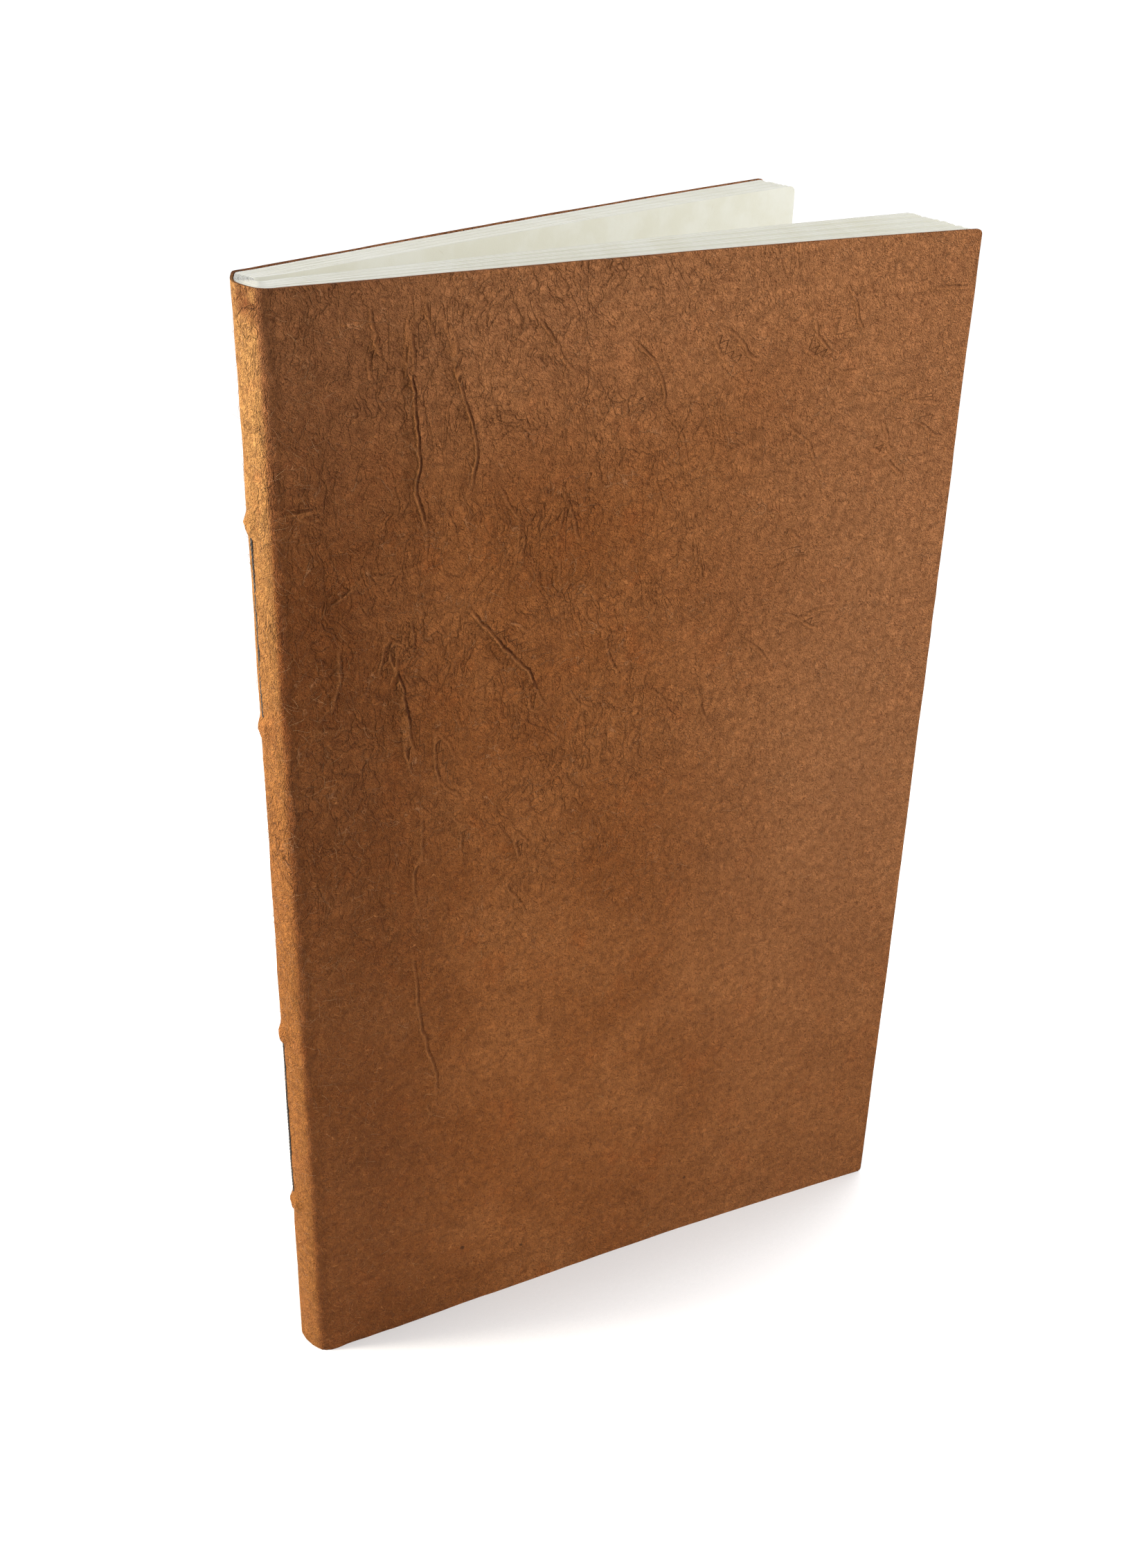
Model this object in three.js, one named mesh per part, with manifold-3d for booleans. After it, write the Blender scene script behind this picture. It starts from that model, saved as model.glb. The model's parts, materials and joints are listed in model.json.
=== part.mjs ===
// Pocket notebook: one section of folded sheets, sewn through the fold into a limp wrapped cover.
// Millimetres, +Z up. The book stands on its tail with its covers a little open.
//
// Every piece is laid out in the closed book's own plan and then turned about its own fold line:
//   x = 0 is the line through the centres of all the folds, the spine is at -x, the fore-edge at +x,
//   y = 0 is the closing plane, the front half is at -y and the back half at +y.

import * as THREE from 'three';
import { mergeVertices } from 'three/addons/utils/BufferGeometryUtils.js';
import Module from 'manifold-3d';

const wasm = await Module();
wasm.setup();

// Overall sizes of the closed book. Every edge is trimmed flush to them.
const height = 140;              // tail to head
const closedWidth = 88.2;        // outside of the spine to the fore-edge

// Paper
const sheetCount = 16;           // folded sheets, each two leaves
const paperThickness = 0.15;
const paperGap = 0.06;           // air between neighbouring sheets at the fold
const outerSheetArm = 0.6;       // straight stretch of the outermost fold, before its leaf bends

// Cover
const coverThickness = 0.35;
const coverGap = 0.1;            // air between the outermost sheet and the cover

// Hinge lines: half of the slit between a fold and its leaf or board, as a share of the thickness.
// Above half, the corners pass each other at a right angle.
const slitShare = 0.6;

// How far each half is turned from the closing plane, in degrees
const frontCoverAngle = 10;
const frontInnerAngle = 4.9;     // the innermost front leaf
const backCoverAngle = 10;
const backInnerAngle = 8.7;      // the innermost back leaf
const bunchSize = 4;             // leaves that lie together
const bunchSpread = 3;           // a step between two bunches, against one step inside a bunch

// Sewing: four holes, two stitches outside, one inside, and the ends knotted over the inside stitch
const headMargin = 24.7;         // head to the first hole
const headStitch = 23.7;         // first to second hole, outside
const tailStitch = 26.5;         // third to fourth hole, outside
const tailMargin = 23.6;         // fourth hole to the tail
const threadDiameter = 0.55;
const threadGap = 0.1;           // thread to the paper or cover that it lies on
const holeClearance = 0.15;      // around the thread in its holes
const crossoverLength = 3;       // where an end climbs from the fold onto the inside stitch
const knotRings = 3;
const knotRingShare = 0.7;       // radius of a ring's centre line, in thread diameters
const knotRingPitch = 0.42;
const knotGap = 0.14;            // knot to the innermost fold, which is rounded over it
const tailLength = 12;           // free ends past the knot
const tailLean = 2;              // how far the ends' tips stand off the fold

// Roundness of the solids
const foldSegments = 7;          // for each quarter of a fold
const threadSides = 8;
const bendFullness = 1.08;       // a bend of the thread, against the thread itself

// Finishes
const coverFinish = new THREE.MeshStandardMaterial({ color: 0x8f5f38, roughness: 0.85, metalness: 0 });
const pageFinish = new THREE.MeshStandardMaterial({ color: 0xe4e2d4, roughness: 0.92, metalness: 0 });
const threadFinish = new THREE.MeshStandardMaterial({ color: 0x1c1917, roughness: 0.6, metalness: 0 });

// Values that follow from the sizes above
const knotRingRadius = knotRingShare * threadDiameter;
const innerFoldRadius = knotRingRadius + threadDiameter / 2 + knotGap;
const paperPitch = paperThickness + paperGap;
const outermost = sheetCount - 1;
const sheetRadius = (index) => innerFoldRadius + paperThickness / 2 + index * paperPitch;
const coverRadius = sheetRadius(outermost) + paperThickness / 2 + coverGap + coverThickness / 2;
const spineOutside = coverRadius + coverThickness / 2;
const foreEdge = closedWidth - spineOutside;

// Fold lines stand back step by step towards the spine, so that the leaves stay a pitch apart
// when a half is turned a right angle outwards.
const sheetArm = (index) => outerSheetArm + (outermost - index) * paperPitch;
const coverArm = outerSheetArm - paperThickness / 2 - coverGap - coverThickness / 2;

const firstHole = height - headMargin;
const secondHole = firstHole - headStitch;
const fourthHole = tailMargin;
const thirdHole = fourthHole + tailStitch;
const holeHeights = [firstHole, secondHole, thirdHole, fourthHole];

/** A closed geometry as a manifold solid. */
function toSolid(geometry) {
  const bare = geometry.clone();
  bare.deleteAttribute('normal');
  bare.deleteAttribute('uv');
  const merged = mergeVertices(bare);
  return new wasm.Manifold(new wasm.Mesh({
    numProp: 3,
    vertProperties: new Float32Array(merged.attributes.position.array),
    triVerts: new Uint32Array(merged.index.array),
  }));
}

/** A manifold solid as a geometry. */
function toGeometry(solid) {
  const mesh = solid.getMesh();
  const geometry = new THREE.BufferGeometry();
  geometry.setAttribute('position', new THREE.BufferAttribute(mesh.vertProperties, 3));
  geometry.setIndex(new THREE.BufferAttribute(mesh.triVerts, 1));
  geometry.computeVertexNormals();
  return geometry;
}

/** Half of the slit at the fold line of a sheet of this thickness. */
function slitFor(thickness) {
  return thickness * slitShare;
}

/** The sewing needle's track through one fold, as a solid to cut with. */
function holeCutter(holeHeight) {
  const reach = spineOutside + coverThickness;
  const cutter = new THREE.CylinderGeometry(
    threadDiameter / 2 + holeClearance, threadDiameter / 2 + holeClearance, reach, threadSides);
  cutter.rotateZ(Math.PI / 2);
  cutter.translate(-reach / 2, 0, holeHeight);
  return toSolid(cutter);
}

/** A fold: a half round with two straight arms, as high as the book, pierced for the thread. */
function foldGeometry(radius, thickness, arm) {
  const outer = radius + thickness / 2;
  const inner = radius - thickness / 2;
  const end = arm - slitFor(thickness);
  const outline = new THREE.Shape();
  outline.moveTo(end, -outer);
  outline.lineTo(end, -inner);
  outline.lineTo(0, -inner);
  outline.absarc(0, 0, inner, -Math.PI / 2, Math.PI / 2, true);
  outline.lineTo(end, inner);
  outline.lineTo(end, outer);
  outline.lineTo(0, outer);
  outline.absarc(0, 0, outer, Math.PI / 2, -Math.PI / 2, false);
  outline.closePath();
  const strip = new THREE.ExtrudeGeometry(
    outline, { depth: height, bevelEnabled: false, curveSegments: foldSegments });
  let solid = toSolid(strip);
  for (const holeHeight of holeHeights) {
    solid = solid.subtract(holeCutter(holeHeight));
  }
  return toGeometry(solid);
}

/** A flat leaf or board on its own fold line. side is -1 for the front half and 1 for the back half. */
function leafOnFold(name, finish, radius, thickness, arm, side, angle) {
  const slit = slitFor(thickness);
  const length = foreEdge - arm - slit;
  const leaf = new THREE.Mesh(new THREE.BoxGeometry(length, thickness, height), finish);
  leaf.name = name;
  leaf.position.set(slit + length / 2, 0, height / 2);
  const foldLine = new THREE.Group();
  foldLine.position.set(arm, side * radius, 0);
  foldLine.rotation.z = side * THREE.MathUtils.degToRad(angle);
  foldLine.add(leaf);
  return foldLine;
}

/** Steps from the cover inwards to a sheet, where a step between two bunches counts more. */
function stepsFromCover(index) {
  const leavesOutside = outermost - index;
  const bunchesOutside = Math.floor(leavesOutside / bunchSize);
  return 1 + leavesOutside + bunchesOutside * (bunchSpread - 1);
}

/** The angle of one leaf between the cover's and the innermost leaf's. */
function leafAngle(index, coverAngle, innerAngle) {
  const share = stepsFromCover(index) / stepsFromCover(0);
  return coverAngle + (innerAngle - coverAngle) * share;
}

/** A round thread between two points in the closing plane, each given as [x, z], with round ends. */
function threadRun(from, to) {
  const start = new THREE.Vector3(from[0], 0, from[1]);
  const end = new THREE.Vector3(to[0], 0, to[1]);
  const along = new THREE.Vector3().subVectors(end, start);
  const run = new THREE.CylinderGeometry(
    threadDiameter / 2, threadDiameter / 2, along.length(), threadSides);
  run.applyQuaternion(new THREE.Quaternion().setFromUnitVectors(
    new THREE.Vector3(0, 1, 0), along.clone().normalize()));
  const middle = new THREE.Vector3().addVectors(start, end).multiplyScalar(0.5);
  run.translate(middle.x, middle.y, middle.z);
  let solid = toSolid(run);
  for (const point of [start, end]) {
    const bend = new THREE.SphereGeometry(
      bendFullness * threadDiameter / 2, threadSides, threadSides / 2 + 1);
    bend.translate(point.x, point.y, point.z);
    solid = solid.add(toSolid(bend));
  }
  return solid;
}

/** The whole sewing thread: one closed route through the four holes, its knot and its two ends. */
function threadGeometry() {
  const lying = threadGap + threadDiameter / 2;
  const outside = -spineOutside - lying;
  const inFold = -innerFoldRadius + lying;
  const onStitch = inFold + threadDiameter;
  const knotHeight = (secondHole + thirdHole) / 2;
  const route = [
    [onStitch, knotHeight],
    [onStitch, secondHole + threadDiameter],
    [inFold, secondHole + crossoverLength],
    [inFold, firstHole],
    [outside, firstHole],
    [outside, secondHole],
    [inFold, secondHole],
    [inFold, thirdHole],
    [outside, thirdHole],
    [outside, fourthHole],
    [inFold, fourthHole],
    [inFold, thirdHole - crossoverLength],
    [onStitch, thirdHole - threadDiameter],
    [onStitch, knotHeight],
  ];
  let solid = threadRun(route[0], route[1]);
  for (let stop = 1; stop < route.length - 1; stop += 1) {
    solid = solid.add(threadRun(route[stop], route[stop + 1]));
  }
  // the knot fills the round of the fold: rings about a stretch of thread
  const knotHalf = knotRings * knotRingPitch / 2;
  solid = solid.add(threadRun([0, knotHeight - knotHalf], [0, knotHeight + knotHalf]));
  for (let ring = 0; ring < knotRings; ring += 1) {
    const loop = new THREE.TorusGeometry(
      knotRingRadius, threadDiameter / 2, threadSides, 2 * threadSides);
    loop.translate(0, 0, knotHeight - knotHalf + (ring + 0.5) * knotRingPitch);
    solid = solid.add(toSolid(loop));
  }
  for (const way of [-1, 1]) {
    const rise = Math.sqrt(tailLength ** 2 - tailLean ** 2);
    solid = solid.add(threadRun(
      [onStitch, knotHeight], [onStitch + tailLean, knotHeight + way * rise]));
  }
  return toGeometry(solid);
}

/** A mesh that stays with the spine. */
function spinePiece(name, geometry, finish) {
  const piece = new THREE.Mesh(geometry, finish);
  piece.name = name;
  return piece;
}

/** The three panels of the one cover sheet. */
function coverPanels() {
  return [
    leafOnFold('front_cover', coverFinish, coverRadius, coverThickness, coverArm, -1, frontCoverAngle),
    spinePiece('cover_spine', foldGeometry(coverRadius, coverThickness, coverArm), coverFinish),
    leafOnFold('back_cover', coverFinish, coverRadius, coverThickness, coverArm, 1, backCoverAngle),
  ];
}

/** One folded sheet: its fold and its two leaves. Sheet 1 is the innermost. */
function foldedSheet(index) {
  const name = `sheet_${String(index + 1).padStart(2, '0')}`;
  const radius = sheetRadius(index);
  const arm = sheetArm(index);
  const frontAngle = leafAngle(index, frontCoverAngle, frontInnerAngle);
  const backAngle = leafAngle(index, backCoverAngle, backInnerAngle);
  return [
    spinePiece(`${name}_fold`, foldGeometry(radius, paperThickness, arm), pageFinish),
    leafOnFold(`${name}_front_leaf`, pageFinish, radius, paperThickness, arm, -1, frontAngle),
    leafOnFold(`${name}_back_leaf`, pageFinish, radius, paperThickness, arm, 1, backAngle),
  ];
}

// The book in its own plan, turned so that the front cover faces -Y squarely
const book = new THREE.Group();
book.rotation.z = THREE.MathUtils.degToRad(frontCoverAngle);
book.add(...coverPanels());
for (let index = 0; index < sheetCount; index += 1) {
  book.add(...foldedSheet(index));
}
book.add(spinePiece('sewing_thread', threadGeometry(), threadFinish));

// The origin is the middle of the book's footprint, on the surface that it stands on
const group = new THREE.Group();
group.add(book);
group.updateMatrixWorld(true);
const footprint = new THREE.Box3().setFromObject(group, true).getCenter(new THREE.Vector3());
group.position.set(-footprint.x, -footprint.y, 0);
group.updateMatrixWorld(true);

export default group;
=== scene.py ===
"""Pocket notebook: folded sheets sewn into one limp cover of handmade paper.

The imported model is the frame. Each paper piece is a closed sheet laid along a plan line
that starts at the spine fold, passes its hinge and ends at the fore-edge.
"""

import json
import logging
import math
from dataclasses import dataclass
from enum import Enum

import bmesh
import bpy
import numpy as np
from bpy.types import Material, Node, NodeSocket as Socket, NodeTree, Object
from mathutils import Matrix, Vector


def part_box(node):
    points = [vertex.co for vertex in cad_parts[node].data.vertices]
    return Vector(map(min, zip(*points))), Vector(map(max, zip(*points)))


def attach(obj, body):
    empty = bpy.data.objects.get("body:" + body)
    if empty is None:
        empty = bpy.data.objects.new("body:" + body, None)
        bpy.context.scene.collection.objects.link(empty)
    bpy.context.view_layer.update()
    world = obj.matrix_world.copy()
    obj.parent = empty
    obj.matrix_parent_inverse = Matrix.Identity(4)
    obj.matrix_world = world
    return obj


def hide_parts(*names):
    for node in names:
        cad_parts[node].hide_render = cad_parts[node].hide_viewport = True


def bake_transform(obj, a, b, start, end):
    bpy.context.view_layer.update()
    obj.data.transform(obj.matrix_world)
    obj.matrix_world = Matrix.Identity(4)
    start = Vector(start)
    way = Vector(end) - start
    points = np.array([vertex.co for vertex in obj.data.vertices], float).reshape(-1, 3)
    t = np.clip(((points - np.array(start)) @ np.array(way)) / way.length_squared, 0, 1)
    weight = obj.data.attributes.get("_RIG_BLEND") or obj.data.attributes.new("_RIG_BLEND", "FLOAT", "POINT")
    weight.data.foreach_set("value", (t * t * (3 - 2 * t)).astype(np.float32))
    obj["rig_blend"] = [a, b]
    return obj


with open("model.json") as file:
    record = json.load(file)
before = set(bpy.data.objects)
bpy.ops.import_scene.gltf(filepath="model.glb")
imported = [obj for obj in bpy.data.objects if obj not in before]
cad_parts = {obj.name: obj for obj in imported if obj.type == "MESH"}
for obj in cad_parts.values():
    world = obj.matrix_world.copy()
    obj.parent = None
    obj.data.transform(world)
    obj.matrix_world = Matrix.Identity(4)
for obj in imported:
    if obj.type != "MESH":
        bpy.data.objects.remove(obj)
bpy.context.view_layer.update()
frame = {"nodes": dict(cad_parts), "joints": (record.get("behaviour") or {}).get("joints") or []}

MM = 0.001
UP = np.array([0.0, 0.0, 1.0])
SHEET_UV = "sheet"
UV_PER_METRE = 10.0
BOOK_HEIGHT = 140.0 * MM
SHEETS = 16
SEWING_HOLES = (115.3 * MM, 91.6 * MM, 50.1 * MM, 23.6 * MM)
SHARP_EDGE = math.radians(50)
Colour = tuple[float, float, float, float]
log = logging.getLogger("notebook")


class Half(Enum):
    """The two halves of the book, by the way each turns about the vertical as it opens."""

    FRONT = -1
    BACK = 1

    @property
    def word(self) -> str:
        """The half's name as the bodies spell it."""
        return self.name.lower()


# ---------------------------------------------------------------- node trees


class Tree:
    """A node tree with named inputs and short ways to write sums in it."""

    def __init__(self, name: str, kind: str) -> None:
        """Starts an empty tree.

        Args:
            name: the tree's name.
            kind: "GeometryNodeTree" or "ShaderNodeTree".
        """
        self.tree = bpy.data.node_groups.new(name, kind)
        self.kind = kind
        self.material = None
        self._entry = self._exit = None

    @classmethod
    def of_material(cls, name: str) -> "Tree":
        """A new material's own tree, emptied."""
        made = cls.__new__(cls)
        made.material = bpy.data.materials.new(name)
        made.material.use_nodes = True
        made.tree = made.material.node_tree
        made.tree.nodes.clear()
        made.kind = "ShaderNodeTree"
        made._entry = made._exit = None
        return made

    def input(self, name: str, socket: str, default: object = None) -> Socket:
        """Adds a named input and returns its socket inside the tree."""
        item = self.tree.interface.new_socket(name=name, in_out="INPUT", socket_type=socket)
        if default is not None:
            item.default_value = default
        if self._entry is None:
            self._entry = self.tree.nodes.new("NodeGroupInput")
        return self._entry.outputs[name]

    def output(self, name: str, socket: str, value: Socket) -> None:
        """Adds a named output fed by value."""
        self.tree.interface.new_socket(name=name, in_out="OUTPUT", socket_type=socket)
        if self._exit is None:
            self._exit = self.tree.nodes.new("NodeGroupOutput")
        self.tree.links.new(value, self._exit.inputs[name])

    def node(self, kind: str, inputs: dict | None = None, **settings: object) -> Node:
        """Adds a node, sets its properties, and links or sets its inputs.

        Args:
            kind: the node's type name.
            inputs: socket name or index to a value or a socket to link from.
            settings: properties of the node.

        Returns:
            The node.
        """
        made = self.tree.nodes.new(kind)
        for key, value in settings.items():
            setattr(made, key, value)
        for key, value in (inputs or {}).items():
            self.feed(made.inputs[key], value)
        return made

    def feed(self, socket: Socket, value: object) -> None:
        """Links value to the socket if it is a socket, otherwise sets it."""
        if isinstance(value, Socket):
            self.tree.links.new(value, socket)
        else:
            socket.default_value = value

    def sum(self, operation: str, *values: object) -> Socket:
        """One Math node of that operation on up to three values."""
        return self.node("ShaderNodeMath", dict(enumerate(values)), operation=operation).outputs[0]

    def times(self, first: object, second: object) -> Socket:
        """The product of two numbers."""
        return self.sum("MULTIPLY", first, second)

    def plus(self, first: object, second: object) -> Socket:
        """The sum of two numbers."""
        return self.sum("ADD", first, second)

    def minus(self, first: object, second: object) -> Socket:
        """The first number less the second."""
        return self.sum("SUBTRACT", first, second)

    def vector(self, operation: str, *values: object) -> Socket:
        """One Vector Math node; scale takes the vector and then the number."""
        if operation == "SCALE":
            inputs = {0: values[0], "Scale": values[1]}
        else:
            inputs = dict(enumerate(values))
        made = self.node("ShaderNodeVectorMath", inputs, operation=operation)
        return made.outputs["Value" if operation in ("LENGTH", "DOT_PRODUCT") else "Vector"]

    def ramp(self, value: object, low: float, high: float, bottom: float = 0.0,
             top: float = 1.0) -> Socket:
        """Value taken smoothly from low..high to bottom..top."""
        made = self.node("ShaderNodeMapRange", {"Value": value, 1: low, 2: high, 3: bottom, 4: top},
                         interpolation_type="SMOOTHSTEP")
        return made.outputs[0]

    def noise(self, vector: object, scale: float, detail: float = 2.0, rough: float = 0.5,
              lump: float = 0.0) -> Socket:
        """Noise from 0 to 1 at that scale."""
        made = self.node("ShaderNodeTexNoise", {"Vector": vector, "Scale": scale, "Detail": detail,
                                                "Roughness": rough, "Distortion": lump})
        return made.outputs[0]

    def combine(self, x: object = 0.0, y: object = 0.0, z: object = 0.0) -> Socket:
        """A vector from three numbers."""
        return self.node("ShaderNodeCombineXYZ", {0: x, 1: y, 2: z}).outputs[0]

    def mix_colour(self, share: object, first: object, second: object) -> Socket:
        """Two colours mixed by share."""
        made = self.node("ShaderNodeMix", data_type="RGBA", blend_type="MIX")
        for index, value in ((0, share), (6, first), (7, second)):
            self.feed(made.inputs[index], value)
        return made.outputs[2]

    def number(self, name: str, default: float) -> Socket:
        """A named number among the inputs."""
        return self.input(name, "NodeSocketFloat", default)

    def position(self) -> Socket:
        """Each point's place, in geometry trees."""
        return self.node("GeometryNodeInputPosition").outputs[0]

    def shape_of(self, piece: Socket) -> Socket:
        """The mesh of an object that the tree is given."""
        return self.node("GeometryNodeObjectInfo", {"Object": piece},
                         transform_space="ORIGINAL").outputs["Geometry"]

    def moved(self, shape: Socket, offset: object) -> Socket:
        """The shape with its points moved."""
        return self.node("GeometryNodeSetPosition", {"Geometry": shape, "Offset": offset}).outputs[0]

    def finished(self, shape: Socket, dress: Socket) -> None:
        """Ends a geometry tree: instances made real, shading smooth, material set."""
        real = self.node("GeometryNodeRealizeInstances", {"Geometry": shape}).outputs[0]
        smooth = self.node("GeometryNodeSetShadeSmooth", {"Geometry": real}).outputs[0]
        self.output("Geometry", "NodeSocketGeometry", self.node(
            "GeometryNodeSetMaterial", {"Geometry": smooth, "Material": dress}).outputs[0])

    def pressed(self, press: NodeTree, shape: Socket) -> Socket:
        """The shape put through the tree that flattens the spine, with that tree's inputs passed on."""
        ways = {name: self.input(name, "NodeSocketVector") for name in ("Fold centre", "Closing way")}
        return self.group(press, {"Geometry": shape, **ways}).outputs[0]

    def nearest(self, shape: Socket, place: Socket) -> Socket:
        """The number of the shape's point that lies nearest to a place."""
        return self.node("GeometryNodeSampleNearest", {"Geometry": shape, "Sample Position": place},
                         domain="POINT").outputs[0]

    def at(self, shape: Socket, value: Socket, index: Socket, kind: str = "FLOAT") -> Socket:
        """A value that the shape has at one of its points."""
        return self.node("GeometryNodeSampleIndex", {"Geometry": shape, "Value": value, "Index": index},
                         data_type=kind, domain="POINT").outputs[0]

    def parts(self, value: object) -> list[Socket]:
        """The three numbers of a vector."""
        return list(self.node("ShaderNodeSeparateXYZ", {0: value}).outputs)

    def layers(self, colour: object, *coats: tuple) -> Socket:
        """Coats laid over a colour in turn, each given as its mask, its strength and its colour."""
        for mask, strength, coat in coats:
            colour = self.mix_colour(self.times(mask, strength), colour, coat)
        return colour

    def heap(self, *parts: tuple) -> Socket:
        """The sum of parts, each given as a value and its weight."""
        total = None
        for value, weight in parts:
            weighed = self.times(value, weight)
            total = weighed if total is None else self.plus(total, weighed)
        return total

    def ridge(self, value: object, width: float) -> Socket:
        """One where value is nothing, falling to nothing at that width on either side."""
        return self.ramp(self.sum("ABSOLUTE", value), 0.0, width, 1.0, 0.0)

    def warped(self, place: Socket, scale: float, detail: float, reach: float) -> Socket:
        """A place pushed about by slow noise."""
        push = self.node("ShaderNodeTexNoise", {"Vector": place, "Scale": scale, "Detail": detail}).outputs[1]
        return self.vector("ADD", place, self.vector("SCALE", push, reach))

    def specks(self, place: Socket, scale: float, core: float, edge: float) -> Socket:
        """Round specks, one in each cell at that scale."""
        away = self.node("ShaderNodeTexVoronoi", {"Vector": place, "Scale": scale}).outputs["Distance"]
        return self.ramp(away, core, edge, 1.0, 0.0)

    def chance(self, low: float, high: float, seed: object) -> Socket:
        """A number by chance for each point."""
        return self.node("FunctionNodeRandomValue", {2: low, 3: high, "Seed": seed},
                         data_type="FLOAT").outputs[1]

    def bump(self, strength: float, distance: float, height: Socket) -> Socket:
        """A normal bent by a height."""
        return self.node("ShaderNodeBump", {"Strength": strength, "Distance": distance,
                                            "Height": height}).outputs[0]

    def own(self, name: str) -> Socket:
        """A number kept on the mesh, in materials."""
        return self.node("ShaderNodeAttribute", attribute_name=name).outputs["Fac"]

    def millimetres(self) -> Socket:
        """The place on the flat sheet in millimetres, in materials."""
        flat = self.node("ShaderNodeUVMap", uv_map=SHEET_UV).outputs[0]
        return self.vector("SCALE", flat, 1.0 / MM / UV_PER_METRE)

    def place_in_space(self) -> Socket:
        """The place in the object's own space in millimetres, in materials."""
        return self.vector("SCALE", self.node("ShaderNodeTexCoord").outputs["Object"], 1.0 / MM)

    def shine(self, inputs: dict) -> Material:
        """Ends a material's tree with its shader and returns the material."""
        shader = self.node("ShaderNodeBsdfPrincipled", inputs)
        self.tree.links.new(shader.outputs[0], self.node("ShaderNodeOutputMaterial").inputs[0])
        return self.material

    def named(self, name: str, kind: str = "FLOAT") -> Socket:
        """A named attribute, in geometry trees."""
        made = self.node("GeometryNodeInputNamedAttribute", {"Name": name}, data_type=kind)
        return made.outputs[0]

    def store(self, shape: Socket, name: str, value: Socket,
              kind: str = "FLOAT", domain: str = "POINT") -> Socket:
        """Keeps value on the shape as a named attribute."""
        made = self.node("GeometryNodeStoreNamedAttribute",
                         {"Geometry": shape, "Name": name, "Value": value},
                         data_type=kind, domain=domain)
        return made.outputs[0]

    def group(self, tree: NodeTree, inputs: dict) -> Node:
        """Places another tree in this one."""
        kind = "GeometryNodeGroup" if self.kind == "GeometryNodeTree" else "ShaderNodeGroup"
        made = self.tree.nodes.new(kind)
        made.node_tree = tree
        for key, value in inputs.items():
            self.feed(made.inputs[key], value)
        return made


def grown(name: str, tree: NodeTree, inputs: dict[str, object]) -> Object:
    """Runs a geometry tree once and keeps its result as a plain mesh object.

    Args:
        name: the piece's name.
        tree: the geometry tree.
        inputs: the tree's inputs by name.

    Returns:
        An object at the origin with no modifier.
    """
    seed = bpy.data.objects.new(name + "_seed", bpy.data.meshes.new(name + "_seed"))
    bpy.context.scene.collection.objects.link(seed)
    made = seed.modifiers.new("grow", "NODES")
    made.node_group = tree
    sockets = {item.name: item.identifier for item in tree.interface.items_tree
               if item.in_out == "INPUT"}
    for key, value in inputs.items():
        made[sockets[key]] = value
    seed.update_tag()
    bpy.context.view_layer.update()
    graph = bpy.context.evaluated_depsgraph_get()
    mesh = bpy.data.meshes.new_from_object(seed.evaluated_get(graph), depsgraph=graph)
    mesh.name = name
    bpy.data.objects.remove(seed)
    piece = bpy.data.objects.new(name, mesh)
    bpy.context.scene.collection.objects.link(piece)
    return piece


def guide(name: str, points: np.ndarray, **values: np.ndarray) -> Object:
    """A line of points that a geometry tree follows, with numbers or vectors on each point."""
    mesh = bpy.data.meshes.new(name)
    mesh.from_pydata(points.tolist(), [(i, i + 1) for i in range(len(points) - 1)], [])
    for key, value in values.items():
        kind, slot = ("FLOAT_VECTOR", "vector") if value.ndim == 2 else ("FLOAT", "value")
        mesh.attributes.new(key, kind, "POINT").data.foreach_set(slot, value.astype(np.float32).ravel())
    made = bpy.data.objects.new(name, mesh)
    bpy.context.scene.collection.objects.link(made)
    return made


def level(plan: np.ndarray) -> np.ndarray:
    """Plan points given a height of nothing."""
    return np.column_stack([plan, np.zeros(len(plan))])


def drop(obj: Object) -> None:
    """Takes a helper object away again."""
    mesh = obj.data
    bpy.data.objects.remove(obj)
    bpy.data.meshes.remove(mesh)


# ---------------------------------------------------------------- plan of the spine


@dataclass(frozen=True)
class Hinge:
    """One half's hinge line, seen from above, and how its paper bends across it."""

    point: np.ndarray
    closing: np.ndarray
    angle: float
    zone: float = 4.0 * MM
    zone_at_spine: float = 1.4 * MM

    def ends(self) -> tuple[np.ndarray, np.ndarray]:
        """Where a moving half starts to turn, clear of the pressed spine, and where it turns fully."""
        return (np.append(self.point - self.closing * self.zone_at_spine, 0.0),
                np.append(self.point + self.closing * self.zone, 0.0))

    def bent(self, points: np.ndarray) -> np.ndarray:
        """Points of the closed book's plan, turned as far as the half stands open at rest."""
        share = np.clip(((points - self.point) @ self.closing) / self.zone / 2 + 0.5, 0, 1)
        turn = share * share * (3 - 2 * share) * self.angle
        across = np.stack([-(points - self.point)[:, 1], (points - self.point)[:, 0]], 1)
        return self.point + (points - self.point) * np.cos(turn)[:, None] + across * np.sin(turn)[:, None]


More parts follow.
